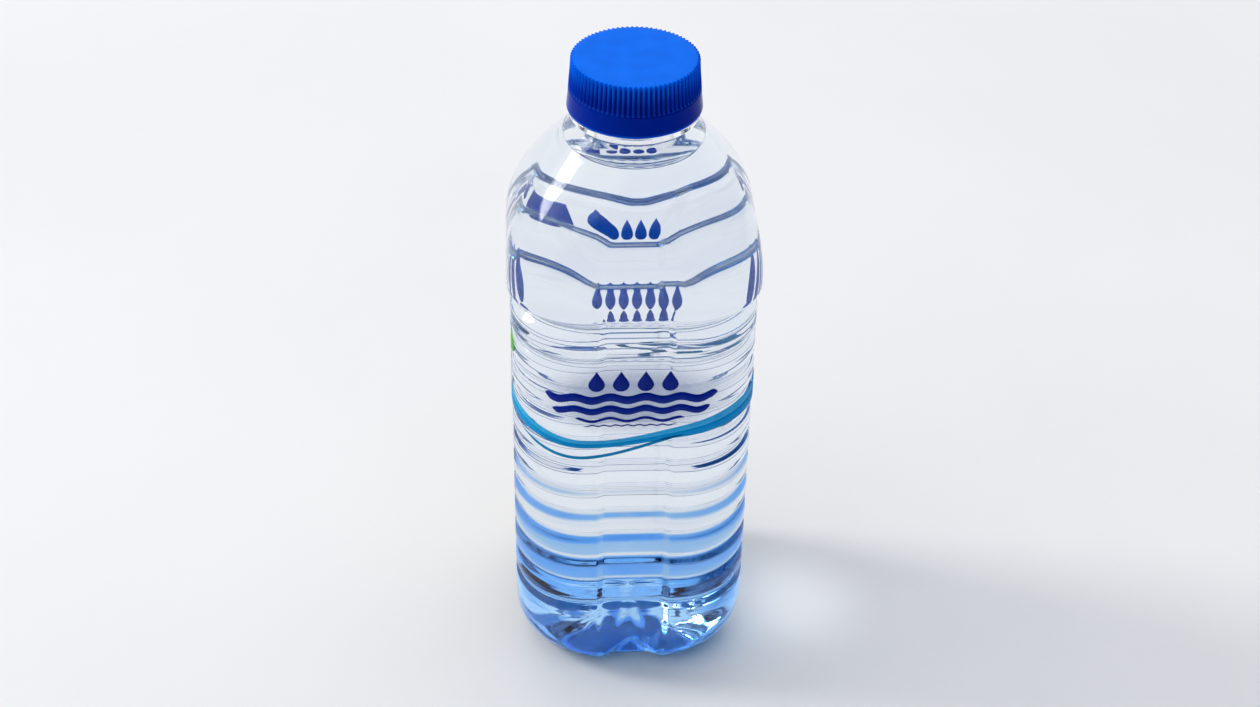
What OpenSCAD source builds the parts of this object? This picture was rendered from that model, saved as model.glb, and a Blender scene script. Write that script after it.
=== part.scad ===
// Half-litre still-water bottle: ribbed rounded-square PET body with a screw closure.
// Millimetres, +Z up. The origin is the centre of the base, on the surface it stands on.
// The front of the label faces -Y.

/* [Body] */
// Width across the flats of the smooth shoulder band
shoulder_w = 65; // [62:0.5:70]
// Width across the flats of the ribbed wall
wall_w = 63; // [60:0.5:64]
// Corner radius of the rounded-square plan
corner_r = 19; // [14:0.5:24]
// Wall thickness of the blown body
wall_t = 0.4; // [0.3:0.05:0.8]
// Width of the vertical panel down the middle of each face
panel_w = 16; // [12:0.5:20]
// Depth of that panel below the lobes beside it
panel_depth = 0.8; // [0.4:0.1:1.2]

/* [Ribs] */
// Number of horizontal grooves in the wall, below the wide one under the shoulder
rib_count = 11; // [8:1:11]
// Vertical distance from one groove to the next
rib_pitch = 8.1; // [7:0.1:8.1]
// Height of the lowest groove
rib_first_z = 24.9; // [24:0.1:26]
// Width of a groove
rib_w = 4.2; // [3:0.1:5]
// Depth of a groove
rib_depth = 1; // [0.4:0.1:1.5]
// Height of the wide groove under the shoulder
top_rib_z = 116.4; // [115.8:0.1:116.4]
// Width of the wide groove
top_rib_w = 7.8; // [6:0.2:7.8]
// Depth of the wide groove
top_rib_depth = 1.9; // [0.8:0.1:2.4]

/* [Base] */
// Height of the rounded heel
heel_h = 18; // [14:0.5:20]
// Diameter of the ring that the bottle stands on
foot_d = 51; // [44:0.5:54]
// Depth of the notch in the heel between two feet, at the middle of each face
notch_depth = 2.5; // [1:0.1:4]
// Height of that notch
notch_h = 10; // [6:0.5:13]
// Height of the dome under the middle of the base
dome_h = 7; // [4:0.5:10]

/* [Shoulder] */
// Height where the shoulder starts to close in
shoulder_z = 120.5; // [120.5:0.5:123]
// Height where the shoulder meets the neck
neck_z = 159.5; // [157:0.5:160]
// Power of the curve that the shoulder follows
shoulder_power = 2.2; // [1.6:0.1:3]

/* [Neck finish] */
// Bore through the neck
neck_bore_d = 24.2; // [22:0.1:24.2]
// Counterbore at the lip that the cap's plug seals in
seal_d = 24.6; // [24.4:0.1:25]
// Outside of the neck tube, at the root of the thread
neck_d = 27.2; // [26.8:0.1:27.6]
// Outside of the neck thread
neck_thread_d = 29.3; // [28.8:0.1:29.4]
// Outside of the support ring that the bottle is carried by
support_ring_d = 32.4; // [30:0.1:33.4]
// Rise of the thread in one turn
thread_pitch = 3.2; // [3:0.1:3.4]

/* [Closure] */
// Height of the top of the cap above the surface
total_h = 176.2; // [175:0.1:178]
// Outside of the cap over the tips of its grip ridges
cap_d = 32.6; // [32:0.1:33]
// Number of grip ridges
ridge_count = 80; // [60:2:100]
// Depth of a grip ridge
ridge_depth = 0.5; // [0.3:0.05:0.6]
// Outside of the tamper band at its lower edge
band_d = 33.7; // [33:0.1:34]
// Number of bridges between the cap and its tamper band
bridge_count = 12; // [8:1:16]

/* [Label and contents] */
// Height of the lower edge of the label
label_z = 75; // [70:0.5:80]
// Height of the label
label_h = 35.5; // [25:0.5:36]
// Thickness of the label film
label_t = 0.1; // [0.05:0.01:0.15]
// Height of the water surface
fill_z = 155; // [130:1:156]

/* [Hidden] */
$fn = 96;

// Half widths of the plan at the levels that drive it
shoulder_a = shoulder_w / 2;
wall_a = wall_w / 2;
foot_r = foot_d / 2;
neck_r = neck_d / 2;
bore_r = neck_bore_d / 2;
seal_r = seal_d / 2;

// Angles round one face, measured from its middle. The creases of the centre panel are the
// two pairs next to panel_deg, and the rest divide the panel and the rounded corner.
panel_deg = atan2(panel_w / 2, wall_a);
crease_deg = 3.5;
corner_steps = 6;
corner_from = panel_deg + crease_deg;
face_angles = concat([0, panel_deg / 2, panel_deg],
    [for (i = [0:corner_steps - 1]) corner_from + (90 - 2 * corner_from) * i / (corner_steps - 1)],
    [90 - panel_deg, 90 - panel_deg / 2]);
angles = [for (q = [0:3], t = face_angles) 90 * q + t];

// Blown wall: the gap to the water and the label that keeps their faces apart
skin_gap = 0.1;
// How much thicker the wall gets towards the neck, and where it starts to
neck_wall_t = neck_r - bore_r;
thick_from_z = 140;
// How far the foot ring is flat, and the radial share of the dome's two rings
foot_land = 3;
dome_shares = [0.62, 0.3];
// Angle from the middle of a face to the edge of the notch, where it meets the surface
notch_deg = 20;
heel_steps = 6;
shoulder_steps = 13;

// Distance of an angle from the nearest face middle, 0 to 45
function fold(t) = abs(t - 90 * round(t / 90));

// Rounded-square plan of half width a and corner radius r: its distance from the axis
function plan(t, a, r) =
    let (f = fold(t), c = a - r, b = c * (cos(f) + sin(f)))
    f < atan2(c, a) ? a / cos(f) : b + sqrt(max(0, b * b - 2 * c * c + r * r));

// Share of the panel's depth at an angle: whole inside the creases and none outside
function in_panel(t) = fold(t) <= panel_deg + crease_deg / 2 ? 1 : 0;

// Depth of the notch at an angle and a height: a V that narrows upwards to a point
function notch(t, z) =
    let (rise = max(0, 1 - z / notch_h))
    rise == 0 ? 0 : notch_depth * sqrt(rise) * max(0, 1 - fold(t) / (notch_deg * rise));

// A level of the body: [z, half width, corner radius, panel depth, inner rise, inner set-in]
heel_levels = [for (i = [0:heel_steps])
    let (u = 90 * i / heel_steps, s = sin(u))
    [heel_h * (1 - cos(u)), foot_r + (wall_a - foot_r) * s, foot_r + (corner_r - foot_r) * s,
     panel_depth * s, wall_t * cos(u), wall_t * s]];
land_r = foot_r - foot_land;
foot_level = [0, land_r, land_r, 0, wall_t, 0];
dome_levels = [for (s = dome_shares) [dome_h * (1 - s * s), land_r * s, land_r * s, 0, wall_t, 0]];

// Each groove is a shallow V: an edge, its floor and an edge
function groove(z, w, depth, edge_a) =
    [for (e = [[z - w / 2, wall_a], [z, wall_a - depth], [z + w / 2, edge_a]])
        [e[0], e[1], corner_r, panel_depth, 0, wall_t]];
rib_levels = concat(
    [for (i = [0:rib_count - 1]) each groove(rib_first_z + rib_pitch * i, rib_w, rib_depth, wall_a)],
    groove(top_rib_z, top_rib_w, top_rib_depth, shoulder_a));

function shoulder_half(z) =
    let (u = (z - shoulder_z) / (neck_z + 1 - shoulder_z))
    neck_r + (shoulder_a - neck_r) * (1 - pow(u, shoulder_power));
function thick(z) = wall_t + (neck_wall_t - wall_t) * max(0, (z - thick_from_z) / (neck_z - thick_from_z));
shoulder_levels = [for (i = [0:shoulder_steps])
    let (v = i / shoulder_steps, z = shoulder_z + (neck_z - shoulder_z) * v,
         a = i == shoulder_steps ? neck_r : shoulder_half(z))
    [z, a, min(a, corner_r + (a - corner_r) * v * v), panel_depth * (1 - v), 0, thick(z)]];

outer_levels = concat([for (i = [len(dome_levels) - 1:-1:0]) dome_levels[i]], [foot_level],
    heel_levels, rib_levels, shoulder_levels);

// Distance of the outside of the wall from the axis, at an angle and a level
function wall_r(t, l) = plan(t, l[1], l[2]) - l[3] * in_panel(t) - notch(t, l[0]);

// One ring of points on the outside of the wall, or inside it with a gap to spare
function ring_out(l) = [for (t = angles)
    let (r = wall_r(t, l))
    [r * cos(t), r * sin(t), l[0]]];
function ring_in(l, gap) =
    let (set_in = l[5] + (l[5] > wall_t / 2 ? gap : 0), rise = l[4] + (l[4] > wall_t / 5 ? gap : 0))
    [for (t = angles)
        let (r = wall_r(t, l) - set_in)
        [r * cos(t), r * sin(t), l[0] + rise]];

// Faces of a stack of rings with n points each, seen from outside, and of its two end fans
function stack_faces(count, n, from = 0) = [for (i = [0:count - 2], k = [0:n - 1])
    let (a = from + i * n + k, b = from + i * n + (k + 1) % n)
    each [[a, a + n, b + n], [a, b + n, b]]];
function flip(faces) = [for (f = faces) [f[2], f[1], f[0]]];
function fan(apex, from, n) = [for (k = [0:n - 1]) [apex, from + k, from + (k + 1) % n]];
function join(rings) = [for (r = rings, p = r) p];

n = len(angles);

module bottle_body() {
    outer = [for (l = outer_levels) ring_out(l)];
    inner = [for (l = outer_levels) ring_in(l, 0)];
    count = len(outer);
    apex = 2 * count * n;
    points = concat(join(outer), join(inner), [[0, 0, dome_h], [0, 0, dome_h + wall_t]]);
    rim = [for (k = [0:n - 1])
        let (a = (count - 1) * n + k, b = (count - 1) * n + (k + 1) % n, d = count * n)
        each [[a, a + d, b + d], [a, b + d, b]]];
    color([0.8, 0.9, 1, 0.35])
        polyhedron(points, concat(stack_faces(count, n), flip(stack_faces(count, n, count * n)),
            fan(apex, 0, n), flip(fan(apex + 1, count * n, n)), rim));
}

// Water: the inside of the wall up to the fill level, a little clear of it
module water() {
    below = [for (l = outer_levels) if (l[0] < fill_z) l];
    top_a = shoulder_half(fill_z);
    v = (fill_z - shoulder_z) / (neck_z - shoulder_z);
    top = [fill_z, top_a, min(top_a, corner_r + (top_a - corner_r) * v * v),
        panel_depth * (1 - v), 0, thick(fill_z)];
    rings = [for (l = concat(below, [top])) ring_in(l, skin_gap)];
    count = len(rings);
    points = concat(join(rings), [[0, 0, dome_h + wall_t + skin_gap], [0, 0, fill_z]]);
    color([0.85, 0.93, 1, 0.3])
        polyhedron(points, concat(stack_faces(count, n), fan(count * n, 0, n),
            flip(fan(count * n + 1, (count - 1) * n, n))));
}

// Neck finish
ring_top_z = 162.3;
support_ring_t = 1.5;
lip_gap = 0.1;
cap_top_t = 1.5;
neck_top_z = total_h - cap_top_t - lip_gap;
bead_d = 30.6;
bead_z = 164.7;
bead_h = 1.4;
lip_round = 0.4;
seal_depth = 2.8;
thread_turns = 1.25;
thread_steps = 36;
// The neck thread's lower end, and the widths of a thread at its root and at its crest
neck_thread_z = 168.4;
thread_root_w = 1.5;
thread_crest_w = 0.7;

module neck_profile() {
    support_r = support_ring_d / 2;
    polygon([[bore_r, neck_z], [neck_r, neck_z],
        [neck_r, ring_top_z - support_ring_t - 0.6], [support_r, ring_top_z - support_ring_t + 0.2],
        [support_r, ring_top_z - 0.2], [support_r - 0.2, ring_top_z], [neck_r, ring_top_z],
        [neck_r, bead_z], [bead_d / 2, bead_z + 0.3], [bead_d / 2, bead_z + 0.7],
        [neck_r, bead_z + bead_h], [neck_r, neck_top_z - lip_round],
        [neck_r - lip_round, neck_top_z], [seal_r, neck_top_z],
        [seal_r, neck_top_z - seal_depth], [bore_r, neck_top_z - seal_depth]]);
}

// A helical thread ridge from root_r to crest_r, tapered at both ends
module thread(root_r, crest_r, z, turns) {
    steps = round(turns * thread_steps);
    lead = thread_steps / 6;
    points = [for (i = [0:steps])
        let (t = 360 * i / thread_steps, h = z + thread_pitch * i / thread_steps,
             s = max(0.05, min(1, i / lead, (steps - i) / lead)),
             tip = root_r + (crest_r - root_r) * s,
             w = thread_root_w / 2, c = thread_crest_w / 2)
        each [for (p = [[root_r, h - w], [tip, h - c], [tip, h + c], [root_r, h + w]])
            [p[0] * cos(t), p[0] * sin(t), p[1]]]];
    side = [for (i = [0:steps - 1], k = [0:3])
        let (a = 4 * i + k, b = 4 * i + (k + 1) % 4)
        each [[a, b, b + 4], [a, b + 4, a + 4]]];
    ends = concat([for (k = [1:2]) [0, k + 1, k]],
        [for (k = [1:2]) [4 * steps, 4 * steps + k, 4 * steps + k + 1]]);
    polyhedron(points, crest_r > root_r ? flip(concat(side, ends)) : concat(side, ends));
}

module neck_finish() {
    color([0.8, 0.9, 1, 0.45]) rotate_extrude() neck_profile();
}

// The thread moulded on the neck, whose flat facets just touch the tube
module neck_thread() {
    color([0.8, 0.9, 1, 0.45])
        thread(neck_r / cos(180 / thread_steps), neck_thread_d / 2, neck_thread_z, thread_turns);
}

// Closure
slit_z = 167.9;
slit_h = 0.5;
skirt_t = 1;
cap_r = cap_d / 2;
skirt_in_r = cap_r - ridge_depth - skirt_t + 0.2;
ridge_z = slit_z + slit_h + 0.5;
top_round = 1;
plug_depth = 2.4;
plug_t = 1;
plug_gap = 0.15;
cap_thread_r = 13.95;

// Grip ridges: a star outline with flat tips, whose valleys lie inside the cap's wall
embed = 0.2;
module ridges() {
    step = 360 / ridge_count;
    valley_r = cap_r - ridge_depth - embed;
    corners = [[-0.38, valley_r], [-0.14, cap_r], [0.14, cap_r], [0.38, valley_r]];
    translate([0, 0, ridge_z - embed])
        linear_extrude(total_h - top_round - ridge_z)
            polygon([for (i = [0:ridge_count - 1], p = corners)
                [p[1] * cos(step * (i + p[0])), p[1] * sin(step * (i + p[0]))]]);
}

module cap_shell() {
    top_r = cap_r - ridge_depth;
    plug_r = seal_r - plug_gap;
    inner_z = total_h - cap_top_t;
    skirt_z = slit_z + slit_h;
    flange_r = cap_r + 0.05;
    color([0, 0.42, 0.93]) union() {
        difference() {
            union() {
                ridges();
                rotate_extrude() polygon(concat(
                    [[0, skirt_z], [flange_r, skirt_z], [flange_r, ridge_z], [top_r, ridge_z]],
                    [for (u = [0:15:90])
                        [top_r - top_round * (1 - cos(u)), total_h - top_round * (1 - sin(u))]],
                    [[0, total_h]]));
            }
            translate([0, 0, skirt_z - 1]) cylinder(r = skirt_in_r, h = inner_z - skirt_z + 1);
        }
        rotate_extrude() polygon([[plug_r - plug_t, inner_z - plug_depth],
            [plug_r - 0.3, inner_z - plug_depth], [plug_r, inner_z - plug_depth + 0.6],
            [plug_r, inner_z + embed], [plug_r - plug_t, inner_z + embed]]);
    }
}

// The thread moulded inside the cap, half a pitch above the neck's
module cap_thread() {
    color([0, 0.42, 0.93])
        thread(skirt_in_r, cap_thread_r, neck_thread_z + thread_pitch / 2, thread_turns - 0.35);
}

// Tamper band: a smooth flared ring with a lip turned in under the neck's bead
band_z = 162.9;
band_t = 0.7;
module tamper_band() {
    top_r = cap_r + 0.1;
    low_r = band_d / 2;
    hook_r = 14.3;
    color([0, 0.35, 0.85])
        rotate_extrude() polygon([[low_r - band_t - 0.2, band_z], [low_r - 0.2, band_z],
            [low_r, band_z + 0.3], [top_r, slit_z], [top_r - band_t, slit_z],
            [low_r - band_t - 0.2, band_z + 1.7], [hook_r, band_z + 1.2], [hook_r, band_z + 0.7]]);
}

// Bridges: pegs across the slit, standing on the band and just short of the cap
bridge_gap = 0.05;
module bridges() {
    bridge_r = cap_r - 0.3;
    color([0, 0.35, 0.85])
        for (i = [0:bridge_count - 1])
            rotate([0, 0, 360 * i / bridge_count])
                translate([bridge_r, 0, slit_z])
                    cylinder(d = 0.5, h = slit_h - bridge_gap, $fn = 16);
}

// Label: a taut clear film round the lobes of the ribbed wall
label_a = wall_a + skin_gap;
label_in_r = corner_r + skin_gap;
function label_ring(z, t, a) = [for (u = a)
    let (r = plan(u, label_a + t, label_in_r + t))
    [r * cos(u), r * sin(u), z]];

module film(z, h, t_in, t_out, a_from, a_to) {
    steps = ceil((a_to - a_from) / 7.5);
    a = [for (i = [0:steps]) a_from + (a_to - a_from) * i / steps];
    m = len(a);
    points = concat(label_ring(z, t_out, a), label_ring(z + h, t_out, a),
        label_ring(z + h, t_in, a), label_ring(z, t_in, a));
    side = [for (j = [0:3], k = [0:m - 2])
        let (p = j * m + k, q = ((j + 1) % 4) * m + k)
        each [[p, q, q + 1], [p, q + 1, p + 1]]];
    ends = [[0, 3 * m, 2 * m], [0, 2 * m, m],
        [m - 1, 2 * m - 1, 3 * m - 1], [m - 1, 3 * m - 1, 4 * m - 1]];
    polyhedron(points, concat(side, ends));
}

// The film's two ends meet at a hairline on the right-hand face, under a strip of glued film
hairline_deg = 0.01;
seam_deg = 8;
seam_inset = 0.5;
glue_t = 0.01;
strip_t = 0.04;

module label_film() {
    color([0.75, 0.85, 0.97, 0.5])
        film(label_z, label_h, 0, label_t, 0, 360 - hairline_deg);
}

module label_seam() {
    strip_in = label_t + glue_t;
    color([0.9, 0.92, 0.95, 0.6])
        film(label_z + seam_inset, label_h - 2 * seam_inset, strip_in, strip_in + strip_t,
            -seam_deg, seam_deg);
}

bottle_body();
neck_finish();
neck_thread();
water();
label_film();
label_seam();
tamper_band();
bridges();
cap_shell();
cap_thread();
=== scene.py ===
"""Looks of the water bottle: clear body and neck, water, printed film label and blue closure.

Every shape is a loft of rings worked out in millimetres and written to Blender in metres.
"""

import math

import bpy
import numpy as np
from mathutils import Matrix, Vector


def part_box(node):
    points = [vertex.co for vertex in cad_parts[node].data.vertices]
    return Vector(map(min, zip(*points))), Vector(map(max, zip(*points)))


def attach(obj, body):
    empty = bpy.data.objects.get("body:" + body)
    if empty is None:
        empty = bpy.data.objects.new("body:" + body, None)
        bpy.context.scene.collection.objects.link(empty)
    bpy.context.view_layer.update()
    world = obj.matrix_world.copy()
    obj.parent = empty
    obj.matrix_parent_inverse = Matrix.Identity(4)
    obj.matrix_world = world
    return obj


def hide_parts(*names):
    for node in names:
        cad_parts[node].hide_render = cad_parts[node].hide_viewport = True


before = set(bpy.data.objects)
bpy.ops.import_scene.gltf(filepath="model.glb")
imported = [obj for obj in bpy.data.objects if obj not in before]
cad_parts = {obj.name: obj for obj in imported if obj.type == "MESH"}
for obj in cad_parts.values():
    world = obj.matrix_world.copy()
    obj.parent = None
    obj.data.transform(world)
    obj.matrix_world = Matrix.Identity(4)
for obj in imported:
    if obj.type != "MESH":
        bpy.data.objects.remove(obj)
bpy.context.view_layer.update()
MM = 0.001
SEED = 7


def box_mm(node):
    """Lowest and highest corners of a CAD node in millimetres."""
    low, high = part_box(node)
    return np.array(low) / MM, np.array(high) / MM


# ---------------------------------------------------------------- sizes, in mm
NECK_LOW, NECK_HIGH = box_mm("neck_finish")
CAP_LOW, CAP_HIGH = box_mm("cap_shell")
BAND_LOW, BAND_HIGH = box_mm("tamper_band")
FILM_LOW, FILM_HIGH = box_mm("label_film")

SHOULDER_A = box_mm("bottle_body")[1][0]  # half widths of the plan
WALL_A = FILM_HIGH[0] - 0.2
CORNER_R = 19.0
WALL_T = 0.35
THICK_FROM_Z = 140.0
PANEL_DEG = 14.2
CREASE_DEG = 3.5
PANEL_DEPTH = 0.8
PANEL_TOP_Z = 124.0
PANEL_FADE = 10.0
RIB_COUNT = 11
RIB_PITCH = 8.1
RIB_FIRST_Z = 24.9
RIB_W = 4.4
RIB_DEPTH = 1.0
LAND_CROWN = 0.08
TOP_RIB_Z = 116.4
TOP_RIB_W = 8.0
TOP_RIB_DEPTH = 1.9
HEEL_H = 18.0
FOOT_R = 25.5
FOOT_LAND = 3.0
DOME_H = 7.0
NOTCH_DEPTH = 2.0
NOTCH_H = 12.0
NOTCH_DEG = 20.0
SHOULDER_Z = 120.5
SHOULDER_POWER = 2.2
NECK_Z = NECK_LOW[2]
NECK_TOP_Z = NECK_HIGH[2]
NECK_R = 13.6
BORE_R = 12.1
SEAL_R = 12.3
SEAL_DEPTH = 2.8
SUPPORT_R = NECK_HIGH[0]
SUPPORT_Z = 162.3
SUPPORT_T = 1.5
BEAD_R = 15.3
BEAD_Z = 164.7
THREAD_R = 14.65
THREAD_Z = 168.4
THREAD_PITCH = 3.2
THREAD_TURNS = 1.25
FILL_Z = box_mm("water")[1][2]
WATER_LAP = 0.12  # how far the water's face lies inside the wall, so that no air shows between

CAP_TOP_Z = CAP_HIGH[2]
CAP_SKIRT_Z = CAP_LOW[2]
CAP_R = 16.3
RIDGES = 80
RIDGE_DEPTH = 0.7
CAP_TAPER = 0.45
CAP_EDGE = 0.15
CAP_SKIRT_IN_R = 14.8
CAP_TOP_T = 1.5
PLUG_R = 12.15
PLUG_T = 1.0
PLUG_DEPTH = 2.4
BAND_LOW_Z = BAND_LOW[2]
SLIT = 0.1
BAND_R = BAND_HIGH[0]
LABEL_A = WALL_A + 0.1
LABEL_R = CORNER_R + 0.1
LABEL_LOW_Z, LABEL_TOP_Z = FILM_LOW[2], FILM_HIGH[2]


# ---------------------------------------------------------------- meshes
def smooth(x):
    """Smooth step from 0 to 1."""
    x = np.clip(x, 0, 1)
    return x * x * (3 - 2 * x)


def make_object(name, verts_mm, faces, material):
    """A smooth-shaded mesh from points in millimetres."""
    mesh = bpy.data.meshes.new(name)
    mesh.from_pydata((np.asarray(verts_mm) * MM).tolist(), [], faces)
    mesh.validate()
    mesh.update()
    mesh.polygons.foreach_set("use_smooth", np.ones(len(mesh.polygons), bool))
    obj = bpy.data.objects.new(name, mesh)
    bpy.context.scene.collection.objects.link(obj)
    mesh.materials.append(material)
    return obj


def loft(name, rings, material, poles=True):
    """A closed skin over a stack of rings, each an array of points. The ends close on a pole each,
    or join each other when poles is False."""
    rings = np.asarray(rings, float)
    count, n = rings.shape[:2]
    verts = rings.reshape(-1, 3)
    faces = []
    last = count if not poles else count - 1
    for i in range(last):
        a, b = i * n, ((i + 1) % count) * n
        faces += [(a + k, a + (k + 1) % n, b + (k + 1) % n, b + k) for k in range(n)]
    if poles:
        verts = np.vstack([verts, rings[0].mean(0), rings[-1].mean(0)])
        low, high, top = count * n, count * n + 1, (count - 1) * n
        faces += [(low, (k + 1) % n, k) for k in range(n)]
        faces += [(high, top + k, top + (k + 1) % n) for k in range(n)]
    return make_object(name, verts, faces, material)


def ring(angles, r, z):
    """Points round the axis, at angles in degrees."""
    t = np.radians(angles)
    r = np.broadcast_to(r, t.shape)
    return np.stack([r * np.cos(t), r * np.sin(t), np.broadcast_to(z, t.shape)], 1)


# ---------------------------------------------------------------- the body's plan
def fold(t):
    """Angle from the nearest face middle, 0 to 45 degrees."""
    return np.abs(t - 90 * np.round(t / 90))


def plan(t, a, r):
    """Rounded-square outline: distance from the axis."""
    f = np.radians(fold(t))
    c = a - r
    b = c * (np.cos(f) + np.sin(f))
    round_r = b + np.sqrt(np.maximum(0, b * b - 2 * c * c + r * r))
    return np.where(f < math.atan2(c, a), a / np.cos(f), round_r)


def body_angles():
    """Columns round the body, closer together at the creases of each face's centre panel."""
    even = np.linspace(0, 90, 37)[:-1]
    crease = PANEL_DEG + CREASE_DEG * np.linspace(-0.5, 1.5, 7)
    quarter = np.unique(np.round(np.concatenate([even, crease, 90 - crease]), 3))
    gaps = np.diff(np.append(quarter, 90 + quarter[0]))
    quarter = quarter[gaps > 0.12]
    return np.concatenate([quarter + 90 * q for q in range(4)])


ANGLES = body_angles()


def in_panel(t):
    """1 across each face's centre panel and 0 on the lobes beside it."""
    return 1 - smooth((fold(t) - PANEL_DEG) / CREASE_DEG)


def notch(t, z):
    """The V-shaped notch in the heel at each face middle."""
    rise = np.clip(1 - z / NOTCH_H, 0, 1)
    if rise <= 0:
        return 0 * t
    return NOTCH_DEPTH * math.sqrt(rise) * smooth(2.4 * (1 - fold(t) / (NOTCH_DEG * rise)))


def groove(z, centre, width):
    """1 at a groove's floor and 0 past its edges."""
    d = np.clip(abs(z - centre) / (width / 2), 0, 1)
    return 0.5 * (1 + np.cos(np.pi * d))


def half_width(z):
    """Half width of the wall across the flats, with its horizontal grooves."""
    if z <= HEEL_H:
        u = math.acos(np.clip(1 - z / HEEL_H, -1, 1))
        return FOOT_R + (WALL_A - FOOT_R) * math.sin(u)
    if z >= SHOULDER_Z:
        u = (z - SHOULDER_Z) / (NECK_Z + 1 - SHOULDER_Z)
        return NECK_R + (SHOULDER_A - NECK_R) * (1 - u ** SHOULDER_POWER)
    a = WALL_A + (SHOULDER_A - WALL_A) * float(smooth((z - TOP_RIB_Z) / (TOP_RIB_W / 2)))
    a -= TOP_RIB_DEPTH * float(groove(z, TOP_RIB_Z, TOP_RIB_W)) ** 1.3
    along = (z - RIB_FIRST_Z) / RIB_PITCH
    if -0.5 < along < RIB_COUNT - 0.5:
        between = abs(along - round(along)) * RIB_PITCH
        a -= RIB_DEPTH * float(groove(between, 0, RIB_W))
        a += LAND_CROWN * float(groove(between, RIB_PITCH / 2, RIB_PITCH - RIB_W))
    return a


def corner(z, a):
    """Corner radius of the plan at a height where the half width is a."""
    if z <= HEEL_H:
        u = math.acos(np.clip(1 - z / HEEL_H, -1, 1))
        return FOOT_R + (CORNER_R - FOOT_R) * math.sin(u)
    if z >= SHOULDER_Z:
        v = (z - SHOULDER_Z) / (NECK_Z - SHOULDER_Z)
        return min(a, CORNER_R + (a - CORNER_R) * v * v)
    return CORNER_R


def panel_depth(z):
    """Depth of the centre panels, which fade out at the foot and into the shoulder."""
    if z <= HEEL_H:
        return PANEL_DEPTH * math.sin(math.acos(np.clip(1 - z / HEEL_H, -1, 1)))
    return PANEL_DEPTH * float(smooth((PANEL_TOP_Z - z) / PANEL_FADE))


def wall_r(z):
    """Distance of the outside of the blown wall from the axis, for every column."""
    a = half_width(z)
    return plan(ANGLES, a, corner(z, a)) - panel_depth(z) * in_panel(ANGLES) - notch(ANGLES, z)


def wall_levels(top):
    """Heights for the rings of the wall, from just above the foot."""
    heel = HEEL_H * (1 - np.cos(np.linspace(0, math.pi / 2, 25)))
    wall = np.arange(HEEL_H + 0.6, SHOULDER_Z, 0.6)
    shoulder = np.linspace(SHOULDER_Z, NECK_Z, 46)
    levels = np.concatenate([heel, wall, shoulder])
    return levels[levels <= top]


def dome_rings(set_in):
    """The underside, from its middle out to the foot."""
    rings = []
    land = FOOT_R - FOOT_LAND
    for s in np.linspace(0.05, 1, 14):
        radial = 0.35 * (1 + np.cos(np.radians(ANGLES * 8))) * math.sin(math.pi * s)
        r = plan(ANGLES, land, land) * s
        rings.append(ring(ANGLES, r, DOME_H * (1 - s * s) + set_in + radial * (DOME_H * 0.12)))
    return rings


def thick(z):
    """Wall thickness: thin in the body, and thicker up the shoulder to the moulded neck."""
    full = NECK_R - BORE_R
    return WALL_T + (full - WALL_T) * max(0.0, (z - THICK_FROM_Z) / (NECK_Z - THICK_FROM_Z)) ** 1.5


def wall_rings(top, set_in):
    """Rings of the wall from the foot to a height, set_in(z) inside its outer face."""
    rings = []
    for z in wall_levels(top):
        u = math.acos(np.clip(1 - z / HEEL_H, -1, 1)) if z < HEEL_H else math.pi / 2
        inward = set_in(z)
        rings.append(ring(ANGLES, wall_r(z) - inward * math.sin(u), z + inward * math.cos(u)))
    return rings


def thread_rise(t, z):
    """Height of the helical thread above the neck at each column, tapered at its two ends."""
    rise = np.zeros_like(t)
    for turn in (0, 1):
        along = (t + 360 * turn) / 360
        ends = smooth(along / 0.17) * smooth((THREAD_TURNS - along) / 0.17)
        d = np.abs(z - (THREAD_Z + THREAD_PITCH * along))
        rise = np.maximum(rise, ends * (1 - smooth((d - 0.35) / 0.4)))
    return rise * (THREAD_R - NECK_R)


def neck_outside():
    """(radius, height) pairs up the outside of the neck, with its support ring and tamper bead."""
    under, over = SUPPORT_Z - SUPPORT_T, SUPPORT_Z
    lip = 0.45
    path = [(NECK_R, NECK_Z + 0.2), (NECK_R, under - 0.5), (NECK_R + 0.3, under - 0.15)]
    path += [(SUPPORT_R - 0.4, under + 0.1), (SUPPORT_R - 0.1, under + 0.25)]
    path += [(SUPPORT_R, under + 0.5)]
    path += [(SUPPORT_R, over - 0.4), (SUPPORT_R - 0.12, over - 0.12), (SUPPORT_R - 0.4, over)]
    path += [(NECK_R + 0.3, over + 0.02), (NECK_R, over + 0.3), (NECK_R, BEAD_Z - 0.1)]
    path += [(NECK_R + 0.2, BEAD_Z), (BEAD_R - 0.15, BEAD_Z + 0.2), (BEAD_R, BEAD_Z + 0.45)]
    path += [(BEAD_R, BEAD_Z + 0.65), (NECK_R + 0.3, BEAD_Z + 1.3), (NECK_R, BEAD_Z + 1.5)]
    path += [(NECK_R, z) for z in np.arange(BEAD_Z + 1.8, NECK_TOP_Z - lip, 0.18)]
    path += [(NECK_R - lip * (1 - math.cos(u)), NECK_TOP_Z - lip * (1 - math.sin(u)))
             for u in np.linspace(0, math.pi / 2, 5)]
    return path


def neck_inside():
    """(radius, height) pairs down the inside of the neck, from the lip past the seal's seat."""
    seal_z = NECK_TOP_Z - SEAL_DEPTH
    path = [(SEAL_R + 0.2, NECK_TOP_Z), (SEAL_R + 0.05, NECK_TOP_Z - 0.06)]
    path += [(SEAL_R, NECK_TOP_Z - 0.2)]
    path += [(SEAL_R, seal_z + 0.1), (SEAL_R - 0.03, seal_z), (BORE_R, seal_z - 0.1)]
    path += [(BORE_R, z) for z in np.linspace(seal_z - 0.5, NECK_Z + 0.2, 12)]
    return path


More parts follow.
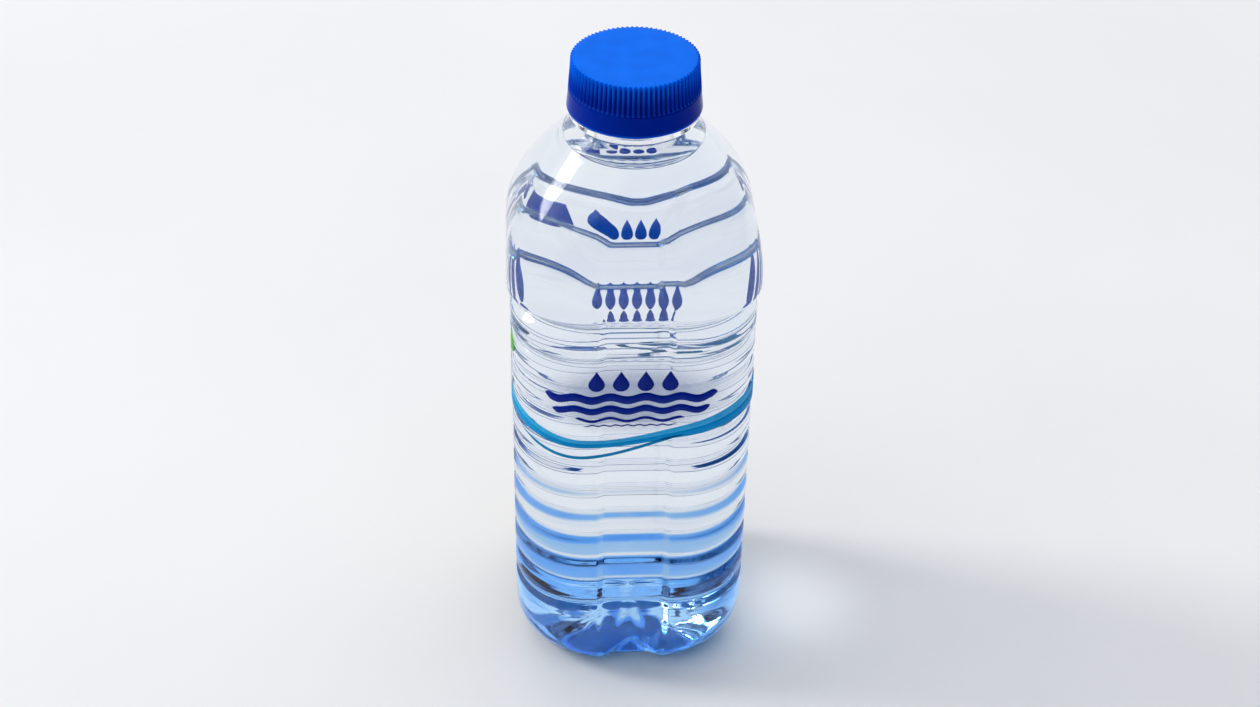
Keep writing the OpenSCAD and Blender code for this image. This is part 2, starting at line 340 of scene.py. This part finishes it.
def make_bottle(material):
    """The PET bottle: one closed skin, up the outside, over the lip and down the inside."""
    rings = dome_rings(0) + wall_rings(NECK_Z, lambda z: 0)
    for r, z in neck_outside():
        rings.append(ring(ANGLES, r + thread_rise(ANGLES, z), z))
    rings += [ring(ANGLES, r, z) for r, z in neck_inside()]
    inner = wall_rings(NECK_Z, thick)
    rings += inner[::-1] + dome_rings(WALL_T)[::-1]
    return loft("pet_bottle", rings, material)


def make_water(material):
    """The water: out to just inside the wall, with a meniscus round its surface."""
    rings = dome_rings(WALL_T - WATER_LAP)
    rings += wall_rings(FILL_Z, lambda z: thick(z) - WATER_LAP)
    edge = wall_r(FILL_Z) - thick(FILL_Z) + WATER_LAP
    creep, run = 0.7, 3.0
    for inward in np.concatenate([np.linspace(0.15, run, 8), np.linspace(run + 1.5, 16, 6)]):
        lift = creep * math.exp(-2.2 * inward / run)
        rings.append(ring(ANGLES, edge - inward, FILL_Z + lift))
    return loft("still_water", rings, material)


# ---------------------------------------------------------------- closure
def ridge_angles():
    columns = 8 * RIDGES
    return np.arange(columns) * 360 / columns


def ridge_wave(t):
    """Narrow rounded ridges with wider valleys, 0 to 1."""
    return (0.5 + 0.5 * np.cos(np.radians(t * RIDGES))) ** 1.7


def make_cap(material):
    """The screw cap: top, tapered grip with its ridges, skirt, and the plug seal inside."""
    t = ridge_angles()
    root = CAP_R - RIDGE_DEPTH
    path = []  # (radius of the valleys, height, share of the ridges)
    rim = root - CAP_TAPER
    for s in np.linspace(0.06, 1, 9):
        path.append(((rim - CAP_EDGE) * s, CAP_TOP_Z - 0.06 * (1 - s) ** 2, 0))
    for u in np.linspace(0, math.pi / 2, 4)[1:]:
        z = CAP_TOP_Z - CAP_EDGE * (1 - math.cos(u))
        path.append((rim - CAP_EDGE * (1 - math.sin(u)), z, math.sin(u) ** 0.4))
    low = CAP_SKIRT_Z + 1.1
    grip_z = CAP_TOP_Z - CAP_EDGE
    for s in np.linspace(0.06, 1, 9):
        path.append((rim + CAP_TAPER * s ** 1.4, grip_z + (low - grip_z) * s, 1))
    path += [(root + 0.06, low - 0.25, 0.92), (root + 0.25, low - 0.45, 0.55)]
    path += [(CAP_R - 0.02, low - 0.6, 0.1)]
    path += [(CAP_R + 0.03, CAP_SKIRT_Z + 0.15, 0), (CAP_R - 0.05, CAP_SKIRT_Z, 0)]
    path += [(CAP_SKIRT_IN_R + 0.1, CAP_SKIRT_Z, 0), (CAP_SKIRT_IN_R, CAP_SKIRT_Z + 0.15, 0)]
    under = CAP_TOP_Z - CAP_TOP_T
    plug_low, plug_in_r = under - PLUG_DEPTH, PLUG_R - PLUG_T
    path += [(CAP_SKIRT_IN_R, under - 0.3, 0), (CAP_SKIRT_IN_R - 0.3, under, 0)]
    path += [(PLUG_R + 0.15, under, 0), (PLUG_R, under - 0.2, 0), (PLUG_R, plug_low + 0.6, 0)]
    path += [(PLUG_R - 0.3, plug_low, 0), (plug_in_r, plug_low, 0)]
    path += [(plug_in_r, under - 0.2, 0), (plug_in_r - 0.2, under, 0)]
    path += [(r, under, 0) for r in (8.0, 4.0, 1.0)]
    rings = [ring(t, r + RIDGE_DEPTH * share * ridge_wave(t), z) for r, z, share in path[::-1]]
    return loft("screw_cap", rings, material)


def make_band(material):
    """The tamper band: flared, with a rolled lower edge and a lip turned in under the bead."""
    t = np.linspace(0, 360, 257)[:-1]
    wall = 0.7
    hook_r = 14.3
    low, top = BAND_LOW_Z, CAP_SKIRT_Z - SLIT
    out_top = CAP_R + 0.08
    path = [(out_top - 0.08, top), (out_top, top - 0.12)]
    for s in np.linspace(0.1, 0.9, 7):
        path.append((out_top + (BAND_R - out_top) * s ** 1.2, top - (top - low - 0.45) * s))
    path += [(BAND_R, low + 0.4), (BAND_R - 0.06, low + 0.12), (BAND_R - 0.25, low)]
    path += [(BAND_R - wall - 0.1, low), (BAND_R - wall - 0.3, low + 0.2)]
    path += [(hook_r + 0.05, low + 0.75), (hook_r, low + 1.0), (hook_r + 0.1, low + 1.2)]
    path += [(BAND_R - wall - 0.25, low + 1.8)]
    path += [(out_top - wall, top - 0.3), (out_top - wall + 0.08, top)]
    return loft("tamper_ring", [ring(t, r, z) for r, z in path[::-1]], material, poles=False)


# ---------------------------------------------------------------- label
def label_outline():
    """The film's outline in plan: points, and the distance along it from the front's middle."""
    t = -90 + np.linspace(-180, 180, 1441)
    r = plan(t, LABEL_A, LABEL_R)
    p = np.stack([r * np.cos(np.radians(t)), r * np.sin(np.radians(t))], 1)
    length = np.concatenate([[0], np.cumsum(np.linalg.norm(np.diff(p, axis=0), axis=1))])
    return p, length - length[-1] / 2


FILM_T = 0.06
INK_T = 0.02
INK_LIFT = 0.1
OUTLINE, ALONG = label_outline()
NORMALS = np.gradient(OUTLINE, ALONG, axis=0)
NORMALS = np.stack([NORMALS[:, 1], -NORMALS[:, 0]], 1)
NORMALS /= np.linalg.norm(NORMALS, axis=1)[:, None]
GIRTH = ALONG[-1] - ALONG[0]


def on_film(s, z, lift):
    """Points lifted off the film, at distance s round from the front's middle and height z."""
    s = (np.asarray(s, float) + GIRTH / 2) % GIRTH - GIRTH / 2
    p = np.stack([np.interp(s, ALONG, OUTLINE[:, i]) for i in (0, 1)], -1)
    m = np.stack([np.interp(s, ALONG, NORMALS[:, i]) for i in (0, 1)], -1)
    xy = p + m * np.asarray(lift)[..., None]
    return np.concatenate([xy, np.broadcast_to(z, s.shape)[..., None]], -1)


def make_film(material):
    """The film: a thin closed sleeve round the lobes of the wall."""
    s = np.linspace(-GIRTH / 2, GIRTH / 2, 289)[:-1]  # round the bottle
    levels = np.linspace(LABEL_LOW_Z, LABEL_TOP_Z, 25)
    rng = np.random.default_rng(SEED)
    phase = rng.uniform(0, 2 * math.pi, 3)

    def ripple(z):
        waves = (np.sin(2 * math.pi * (s * k / GIRTH) + z * 0.11 * k + phase[i])
                 for i, k in enumerate((7, 11, 17)))
        return 0.008 * sum(waves)

    outer = [on_film(s, z, FILM_T + ripple(z)) for z in levels]
    inner = [on_film(s, z, ripple(z)) for z in levels[::-1]]
    return loft("label_sleeve", outer + inner, material, poles=False)


def ink_strip(name, s, low, high, material, rows):
    """A printed strip between two height curves along the film, as a thin closed solid."""
    top, bottom = [], []
    for v in np.linspace(0, 1, rows):
        z = low + (high - low) * v
        top.append(on_film(s, z, INK_LIFT + INK_T))
        bottom.append(on_film(s, z, INK_LIFT))
    n = len(s)
    verts = np.concatenate(top + bottom)
    faces = []
    half = rows * n
    for j in range(rows - 1):
        for k in range(n - 1):
            a = j * n + k
            faces.append((a, a + 1, a + n + 1, a + n))
            faces.append((half + a, half + a + n, half + a + n + 1, half + a + 1))
    for k in range(n - 1):
        faces.append((half + k, half + k + 1, k + 1, k))
        a = (rows - 1) * n + k
        faces.append((a, a + 1, half + a + 1, half + a))
    for j in range(rows - 1):
        a = j * n
        faces.append((a, a + n, half + a + n, half + a))
        b = j * n + n - 1
        faces.append((b, half + b, half + b + n, b + n))
    return make_object(name, verts, faces, material)


def ribbon_top(s):
    """Upper edge of the printed ribbon: two waves round the bottle, with flat crests."""
    turn = 2 * math.pi * (s + 11) / (GIRTH / 2)
    return 86.9 - 4.3 * np.cos(turn) + 0.7 * (1 - np.cos(2 * turn)) - 0.1


def ribbon_width(s):
    """Width of the printed ribbon, narrowest left of each half's middle."""
    return 2.4 + 4.3 * (0.5 - 0.5 * np.cos(2 * math.pi * (s + 8) / (GIRTH / 2)))


def ribbon_line(s):
    """Middle of the thin line that sweeps under the ribbon and joins it on the right."""
    return 81.3 - 4.4 * np.cos(2 * math.pi * (s + 15) / 75)


FRONT = (("front", 0.0),)
BACK = (("back", GIRTH / 2),)


def make_print(inks):
    """The printed marks: a ribbon and its line, an emblem in front, and drops at the back."""
    pieces = []

    def strip(name, ink, s, low, high, sides=FRONT + BACK):
        for side, turn in sides:
            rows = max(2, int(np.ptp(high) // 2))
            piece = ink_strip(f"{side}_{name}", s + turn, low, high, inks[ink], rows)
            pieces.append((piece, ink))

    def wave(name, ink, left, right, z, thick, rise=0.55, period=9.0):
        s = np.linspace(left, right, max(9, int((right - left) * 2)))
        mid = z + rise * np.sin(2 * math.pi * s / period)
        half = thick / 2 * np.sqrt(np.clip(np.minimum(s - left, right - s) / 1.4, 0.02, 1))
        strip(name, ink, s, mid - half, mid + half, FRONT)

    def drop(name, ink, middle, z, r, tall, sides=FRONT + BACK):
        s = np.linspace(-0.995, 0.995, 25)
        belly = np.sqrt(1 - s * s)
        tip = (1 - np.abs(s)) ** 1.6 * (tall - r) + belly * r * 0.9
        strip(name, ink, middle + s * r, z - belly * r, z + tip, sides)

    s = np.linspace(-GIRTH / 4, GIRTH / 4, 221)
    top, wide = ribbon_top(s), ribbon_width(s)
    strip("ribbon", "cyan", s, top - wide, top - 0.45 * wide)
    strip("ribbon_top", "aqua", s, top - 0.45 * wide, top)
    s = np.linspace(-33, 12, 91)
    half = 0.5 * np.clip(np.minimum(s + 33, 14 - s) / 6, 0.15, 1)
    strip("ribbon_line", "teal", s, ribbon_line(s) - half, ribbon_line(s) + half)
    for i, x in enumerate(np.linspace(-10.2, 8.4, 4)):
        drop(f"drop_{i + 1}", "navy", x, 100.4, 2.1, 4.4, FRONT)
    wave("wave_high", "navy", -23.6, 20.8, 96.0, 2.5)
    wave("wave_mid", "navy", -21.6, 18.8, 92.4, 2.1)
    wave("wave_low", "navy", -15.6, 12.2, 89.3, 0.9)
    wave("wave_fine", "navy", -13.5, 10.5, 87.4, 0.4, rise=0.2, period=3.0)
    for i, x in enumerate(np.linspace(-7.0, 4.0, 4)):
        drop(f"high_drop_{i + 1}", "through", x, 106.0, 1.6, 3.0, BACK)
    for i, x in enumerate(np.linspace(-13.2, 8.4, 7)):
        drop(f"low_drop_{i + 1}", "through", x, 93.2, 1.4, 3.2, BACK)
    s = np.linspace(7.4, 14.0, 23)
    strip("panel", "blue", s, 102.8 + 0 * s, 108.2 + 0 * s, BACK)
    for i in range(5):
        s = np.linspace(43.5, 52.0 - 1.6 * (i % 2), 15)
        strip(f"line_{i + 1}", "violet", s, 104.0 - 2.2 * i + 0 * s, 104.7 - 2.2 * i + 0 * s)
    drop("leaf", "green", -38.6, 103.0, 2.3, 6.0)
    return pieces


# ---------------------------------------------------------------- materials
PET_IOR = 1.25  # less than solid PET's, as the wall is wet on its inner face
BASE_TINT = (0.36, 0.64, 0.97)
BASE_TINT_TOP = 20
BASE_TINT_LOW = 8
FILM_ALPHA = 0.03
HAZE_ALPHA = 0.55
HAZE_HALF = (0.026, 0.031, 0.012)  # the haze's half sizes in metres
HAZE_OFFSET = (0.02, 1.0, -8.0)  # in half sizes: its middle is on the front face at z 96
HAZE_EDGE, HAZE_FULL = 1.1, 0.35  # in half sizes
INKS = {  # two printed colours and the colour of the light let through
    "navy": ((0.0, 0.025, 0.3), (0.0, 0.03, 0.36), (0.0, 0.07, 0.6)),
    "blue": ((0.0, 0.18, 0.8), (0.0, 0.2, 0.86), (0.0, 0.4, 1.0)),
    "through": ((0.0, 0.18, 0.75), (0.0, 0.2, 0.8), (0.0, 0.4, 1.0)),
    "cyan": ((0.0, 0.36, 0.66), (0.0, 0.4, 0.72), (0.1, 0.6, 0.9)),
    "aqua": ((0.02, 0.46, 0.74), (0.05, 0.52, 0.8), (0.35, 0.8, 1.0)),
    "teal": ((0.0, 0.3, 0.52), (0.0, 0.34, 0.58), (0.1, 0.55, 0.8)),
    "violet": ((0.14, 0.12, 0.5), (0.18, 0.15, 0.56), (0.3, 0.3, 0.8)),
    "green": ((0.2, 0.6, 0.1), (0.26, 0.68, 0.14), (0.4, 0.85, 0.3)),
}
INK_COVER = 0.62
# painted shade on the band above its rolled lower edge
PAINTED_BAND_SHADE = (0.0, 0.2, 0.4)
# painted shade: the cap's grip darker in its valleys, and its side darker than its top
PAINTED_VALLEY_SHADE = (0.0, 0.22, 0.38)
PAINTED_SIDE_SHADE = (0.0, 0.3, 0.58)
# painted light on the floor under the bottle: a blue tint that darkens it, and a faint glow
PAINTED_BLUE_UNDER = (0.36, 0.64, 1.0)
PAINTED_GLOW_UNDER = 0.14
UNDER_Y = 13  # the tint lies a little behind the middle, where the light comes down
UNDER_EDGE_R, UNDER_FULL_R = 31, 20


class Nodes:
    """A short way to build a Principled material with nodes."""

    def __init__(self, name):
        self.mat = bpy.data.materials.new(name)
        self.mat.use_nodes = True
        self.tree = self.mat.node_tree
        self.shader = self.tree.nodes["Principled BSDF"]

    def set(self, **values):
        for key, value in values.items():
            self.shader.inputs[key.replace("_", " ")].default_value = value
        return self

    def add(self, kind, **values):
        node = self.tree.nodes.new(kind)
        for key, value in values.items():
            if key in node.bl_rna.properties:
                setattr(node, key, value)
            else:
                node.inputs[key.replace("_", " ")].default_value = value
        return node

    def link(self, a, b):
        self.tree.links.new(a, b)

    def noise(self, scale, detail=3.0):
        place = self.add("ShaderNodeTexCoord")
        noise = self.add("ShaderNodeTexNoise", Scale=scale, Detail=detail)
        self.link(place.outputs["Object"], noise.inputs["Vector"])
        return noise.outputs["Fac"]

    def height(self, none_at, full_at):
        """0 at one height in mm and 1 at another, for what changes up the bottle."""
        place = self.add("ShaderNodeTexCoord")
        parts = self.add("ShaderNodeSeparateXYZ")
        self.link(place.outputs["Object"], parts.inputs["Vector"])
        r = self.add("ShaderNodeMapRange", interpolation_type="SMOOTHSTEP")
        r.inputs["From Min"].default_value = none_at * MM
        r.inputs["From Max"].default_value = full_at * MM
        self.link(parts.outputs["Z"], r.inputs["Value"])
        return r.outputs["Result"]

    def spread(self, source, low, high):
        """source, 0 to 1, mapped to a range."""
        r = self.add("ShaderNodeMapRange", To_Min=low, To_Max=high)
        self.link(source, r.inputs["Value"])
        return r.outputs["Result"]

    def colours(self, source, first, second):
        """The base colour, varied between two colours by source."""
        ramp = self.add("ShaderNodeValToRGB")
        ramp.color_ramp.elements[0].color = (*first, 1)
        ramp.color_ramp.elements[1].color = (*second, 1)
        ramp.color_ramp.elements[0].position = 0.35
        ramp.color_ramp.elements[1].position = 0.65
        self.link(source, ramp.inputs["Fac"])
        self.link(ramp.outputs["Color"], self.shader.inputs["Base Color"])

    def darken(self, share, colour):
        """Multiplies the base colour by a colour, as far as share says."""
        mix = self.add("ShaderNodeMix", data_type="RGBA", blend_type="MULTIPLY")
        self.link(share, mix.inputs[0])
        self.link(self.shader.inputs["Base Color"].links[0].from_socket, mix.inputs[6])
        mix.inputs[7].default_value = (*colour, 1)
        self.link(mix.outputs[2], self.shader.inputs["Base Color"])

    def bump(self, source, strength, distance):
        bump = self.add("ShaderNodeBump", Strength=strength, Distance=distance)
        self.link(source, bump.inputs["Height"])
        self.link(bump.outputs["Normal"], self.shader.inputs["Normal"])


def pet_material():
    """Clear PET, tinted blue in the thick heel and base."""
    m = Nodes("clear_pet").set(Transmission_Weight=1.0, IOR=PET_IOR, Roughness=0.0)
    m.colours(m.noise(60), (0.988, 0.994, 1.0), (0.994, 0.997, 1.0))
    m.darken(m.height(BASE_TINT_TOP, BASE_TINT_LOW), BASE_TINT)
    m.bump(m.noise(90, 2.0), 0.06, 0.0004)
    return m.mat


def water_material():
    """Clear water, faintly blue through its depth."""
    m = Nodes("still_water").set(Transmission_Weight=1.0, IOR=1.333, Roughness=0.0)
    m.colours(m.noise(20), (0.985, 0.992, 1.0), (0.99, 0.996, 1.0))
    depth = m.add("ShaderNodeVolumeAbsorption", Color=(0.3, 0.66, 1.0, 1), Density=1.9)
    m.link(depth.outputs["Volume"], m.tree.nodes["Material Output"].inputs["Volume"])
    return m.mat


def film_material():
    """Clear film with a silvery haze printed behind the emblem."""
    m = Nodes("clear_film").set(Roughness=0.12, IOR=1.5)
    m.colours(m.noise(400, 2.0), (0.5, 0.55, 0.66), (0.56, 0.61, 0.72))
    place = m.add("ShaderNodeTexCoord")
    squeeze = m.add("ShaderNodeMapping")
    squeeze.inputs["Location"].default_value = HAZE_OFFSET
    squeeze.inputs["Scale"].default_value = tuple(1 / half for half in HAZE_HALF)
    m.link(place.outputs["Object"], squeeze.inputs["Vector"])
    far = m.add("ShaderNodeVectorMath", operation="LENGTH")
    m.link(squeeze.outputs["Vector"], far.inputs[0])
    haze = m.add("ShaderNodeMapRange", interpolation_type="SMOOTHSTEP")
    haze.inputs["From Min"].default_value = HAZE_EDGE
    haze.inputs["From Max"].default_value = HAZE_FULL
    haze.inputs["To Min"].default_value = FILM_ALPHA
    haze.inputs["To Max"].default_value = HAZE_ALPHA
    m.link(far.outputs["Value"], haze.inputs["Value"])
    m.link(haze.outputs["Result"], m.shader.inputs["Alpha"])
    return m.mat


def blue_plastic(name, first, second, roughness, grain, shine):
    """Moulded blue plastic. Returns its Nodes, so that more can be added."""
    m = Nodes(name).set(IOR=1.5, Specular_IOR_Level=shine, Specular_Tint=(0.3, 0.6, 1.0, 1))
    m.colours(m.noise(220, 4.0), first, second)
    m.link(m.spread(m.noise(500), roughness - 0.04, roughness + 0.06), m.shader.inputs["Roughness"])
    m.bump(m.noise(1800, 2.0), grain, 0.00006)
    return m


def cap_material():
    """Saturated blue plastic, with painted shade down in the valleys of the grip and down its side
    below the top.
    """
    m = blue_plastic("cap_blue", (0.0, 0.14, 0.78), (0.0, 0.155, 0.84), 0.42, 0.12, 0.03)
    place = m.add("ShaderNodeTexCoord")
    parts = m.add("ShaderNodeSeparateXYZ")
    m.link(place.outputs["Object"], parts.inputs["Vector"])
    turn = m.add("ShaderNodeMath", operation="ARCTAN2")
    m.link(parts.outputs["Y"], turn.inputs[0])
    m.link(parts.outputs["X"], turn.inputs[1])
    count = m.add("ShaderNodeMath", operation="MULTIPLY")
    count.inputs[1].default_value = RIDGES
    m.link(turn.outputs["Value"], count.inputs[0])
    wave = m.add("ShaderNodeMath", operation="COSINE")
    m.link(count.outputs["Value"], wave.inputs[0])
    # mask of the valleys between the ridges, for the painted shade in them
    valley = m.add("ShaderNodeMapRange", interpolation_type="SMOOTHSTEP")
    valley.inputs["From Min"].default_value = 0.5
    valley.inputs["From Max"].default_value = -0.6
    m.link(wave.outputs["Value"], valley.inputs["Value"])
    side = m.add("ShaderNodeMath", operation="MULTIPLY")
    m.link(valley.outputs["Result"], side.inputs[0])
    m.link(m.height(CAP_TOP_Z - 0.05, CAP_TOP_Z - 1.6), side.inputs[1])
    m.darken(side.outputs["Value"], PAINTED_VALLEY_SHADE)
    # painted shade down the cap's side, below its top
    m.darken(m.height(CAP_TOP_Z - 0.4, CAP_SKIRT_Z + 2.0), PAINTED_SIDE_SHADE)
    return m.mat


def band_material():
    """The same plastic, glossier, with painted shade above the rolled lower edge, which is left
    brighter as a painted highlight.
    """
    m = blue_plastic("band_blue", (0.0, 0.085, 0.66), (0.0, 0.1, 0.72), 0.1, 0.02, 0.03)
    # painted shade over the band above its lower edge, leaving the edge brighter
    m.darken(m.height(BAND_LOW_Z + 0.35, BAND_LOW_Z + 0.9), PAINTED_BAND_SHADE)
    return m.mat


def ink_material(name, first, second, through):
    """Printed ink: part of the light goes through it, coloured."""
    m = Nodes(name).set(Roughness=0.4, Specular_IOR_Level=0.1)
    m.colours(m.noise(300), first, second)
    clear = m.add("ShaderNodeBsdfTransparent", Color=(*through, 1))
    cover = m.add("ShaderNodeMixShader", Fac=INK_COVER)
    m.link(clear.outputs["BSDF"], cover.inputs[1])
    m.link(m.shader.outputs["BSDF"], cover.inputs[2])
    m.link(cover.outputs["Shader"], m.tree.nodes["Material Output"].inputs["Surface"])
    return m.mat


def floor_material():
    """Pale plaster, with painted blue shade and a faint painted blue glow under the bottle, for the
    light that comes through it.
    """
    m = Nodes("pale_floor").set(Roughness=0.55)
    m.colours(m.noise(5, 6.0), (0.83, 0.82, 0.8), (0.86, 0.85, 0.83))
    place = m.add("ShaderNodeTexCoord")
    offset = m.add("ShaderNodeVectorMath", operation="SUBTRACT")
    offset.inputs[1].default_value = (0, UNDER_Y * MM, 0)
    m.link(place.outputs["Object"], offset.inputs[0])
    far = m.add("ShaderNodeVectorMath", operation="LENGTH")
    m.link(offset.outputs["Vector"], far.inputs[0])
    under = m.add("ShaderNodeMapRange", interpolation_type="SMOOTHSTEP")
    under.inputs["From Min"].default_value = UNDER_EDGE_R * MM
    under.inputs["From Max"].default_value = UNDER_FULL_R * MM
    m.link(far.outputs["Value"], under.inputs["Value"])
    # painted blue shade under the bottle
    m.darken(under.outputs["Result"], PAINTED_BLUE_UNDER)
    # painted glow under the bottle: the floor gives off faint blue light there
    m.shader.inputs["Emission Color"].default_value = (0.2, 0.5, 1.0, 1)
    m.link(m.spread(under.outputs["Result"], 0, PAINTED_GLOW_UNDER), m.shader.inputs["Emission Strength"])
    m.bump(m.noise(60, 5.0), 0.08, 0.001)
    return m.mat


# ---------------------------------------------------------------- stage
ROOM_LIGHT_FROM = (-0.45, 0.72, 0.52)
ROOM_COLOURS = (
    (0, (0.0, 0.07, 0.3)),
    (0.48, (0.02, 0.12, 0.38)),
    (0.6, (0.88, 0.89, 0.9)),
    (1, (1.0, 0.985, 0.95)),
)
ROOM_STRENGTH = 1.12
LOOK_AT = Vector((0, 0, 0.0867))
CAMERA_DISTANCE = 0.5683
CAMERA_ELEVATION = 36.46
CAMERA_AZIMUTH = -3.5
CAMERA_ROLL = 1.05
CAMERA_LENS = 60.76


LIGHT_AIM = (0, 0, 0.08)
GLOW_FROM = (0.32, -0.12, 0.6)
GLOW_AIM = (0.046, -0.004, 0)
GLOW_POWER = 5.5
GLOW_DEG = 3.8


def make_camera():
    """The photo's camera, fitted to the outlines of the cap, the shoulder and the foot."""
    data = bpy.data.cameras.new("camera")
    data.lens = CAMERA_LENS
    data.sensor_width = 36
    data.clip_start, data.clip_end = 0.01, 20
    camera = bpy.data.objects.new("camera", data)
    bpy.context.scene.collection.objects.link(camera)
    a, e = math.radians(CAMERA_AZIMUTH), math.radians(CAMERA_ELEVATION)
    back = Vector((math.sin(a) * math.cos(e), -math.cos(a) * math.cos(e), math.sin(e)))
    turn = (-back).to_track_quat("-Z", "Y").to_matrix().to_4x4()
    roll = Matrix.Rotation(math.radians(CAMERA_ROLL), 4, "Z")
    camera.matrix_world = Matrix.Translation(LOOK_AT + back * CAMERA_DISTANCE) @ turn @ roll
    bpy.context.scene.camera = camera


def add_light(data, place, aim):
    """Puts a light in the scene, pointed at aim."""
    light = bpy.data.objects.new(data.name, data)
    light.location = place
    light.rotation_euler = (Vector(aim) - Vector(place)).to_track_quat("-Z", "Y").to_euler()
    bpy.context.scene.collection.objects.link(light)


def area_light(name, place, size, power, colour):
    """A rectangular light pointed at the middle of the bottle."""
    data = bpy.data.lights.new(name, "AREA")
    data.shape = "RECTANGLE"
    data.size, data.size_y = size
    data.energy = power
    data.color = colour
    add_light(data, place, LIGHT_AIM)


def make_glow():
    """A soft spot on the floor right of the base, for the light that the bottle focuses there."""
    data = bpy.data.lights.new("glow", "SPOT")
    data.energy = GLOW_POWER
    data.spot_size = math.radians(GLOW_DEG)
    data.spot_blend = 1.0
    data.shadow_soft_size = 0.01
    add_light(data, GLOW_FROM, GLOW_AIM)


def make_room():
    """Soft light from above, behind and the left; dim blue towards the front."""
    world = bpy.data.worlds.new("room")
    bpy.context.scene.world = world
    world.use_nodes = True
    tree = world.node_tree
    place = tree.nodes.new("ShaderNodeTexCoord")
    facing = tree.nodes.new("ShaderNodeVectorMath")
    facing.operation = "DOT_PRODUCT"
    facing.inputs[1].default_value = Vector(ROOM_LIGHT_FROM).normalized()
    ramp = tree.nodes.new("ShaderNodeValToRGB")
    spread = tree.nodes.new("ShaderNodeMapRange")
    spread.inputs["From Min"].default_value = -1
    for at, colour in ROOM_COLOURS[1:-1]:
        ramp.color_ramp.elements.new(at).color = (*colour, 1)
    ramp.color_ramp.elements[0].color = (*ROOM_COLOURS[0][1], 1)
    ramp.color_ramp.elements[-1].color = (*ROOM_COLOURS[-1][1], 1)
    tree.links.new(place.outputs["Generated"], facing.inputs[0])
    tree.links.new(facing.outputs["Value"], spread.inputs["Value"])
    tree.links.new(spread.outputs["Result"], ramp.inputs["Fac"])
    background = tree.nodes["Background"]
    tree.links.new(ramp.outputs["Color"], background.inputs["Color"])
    background.inputs["Strength"].default_value = ROOM_STRENGTH


def make_stage():
    """The floor, the room's light and the lamps."""
    bpy.ops.mesh.primitive_plane_add(size=6)
    floor = bpy.context.object
    floor.name = "floor"
    floor.data.materials.append(floor_material())
    make_room()
    area_light("window", place=(-3.4, 0.85, 2.3), size=(2.3, 2.2), power=12,
               colour=(1.0, 0.985, 0.96))
    area_light("bright_pane", place=(-3.3, 0.83, 2.25), size=(0.85, 2.0), power=70,
               colour=(1.0, 0.99, 0.97))
    make_glow()


# ---------------------------------------------------------------- build
make_camera()
make_stage()
scene = bpy.context.scene
scene.view_settings.view_transform = "Standard"
scene.cycles.max_bounces = 40
scene.cycles.transmission_bounces = 40
scene.cycles.transparent_max_bounces = 24

pet = pet_material()
bottle = make_bottle(pet)
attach(bottle, "bottle")
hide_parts("bottle_body", "neck_finish", "neck_thread")

water = make_water(water_material())
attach(water, "bottle")
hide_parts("water")

cap_blue = cap_material()
cap = make_cap(cap_blue)
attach(cap, "cap")
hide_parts("cap_shell")

band_blue = band_material()
band = make_band(band_blue)
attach(band, "band")
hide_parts("tamper_band")

inks = {name: ink_material(f"ink_{name}", *colours) for name, colours in INKS.items()}
for piece, ink in make_print(inks):
    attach(piece, "bottle")

clear_film = film_material()
film = make_film(clear_film)
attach(film, "bottle")
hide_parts("label_film")

cad_looks = {"cap_thread": cap_blue, "bridges": band_blue, "label_seam": clear_film}
for name, material in cad_looks.items():
    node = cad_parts[name]
    node.data.materials.clear()
    node.data.materials.append(material)
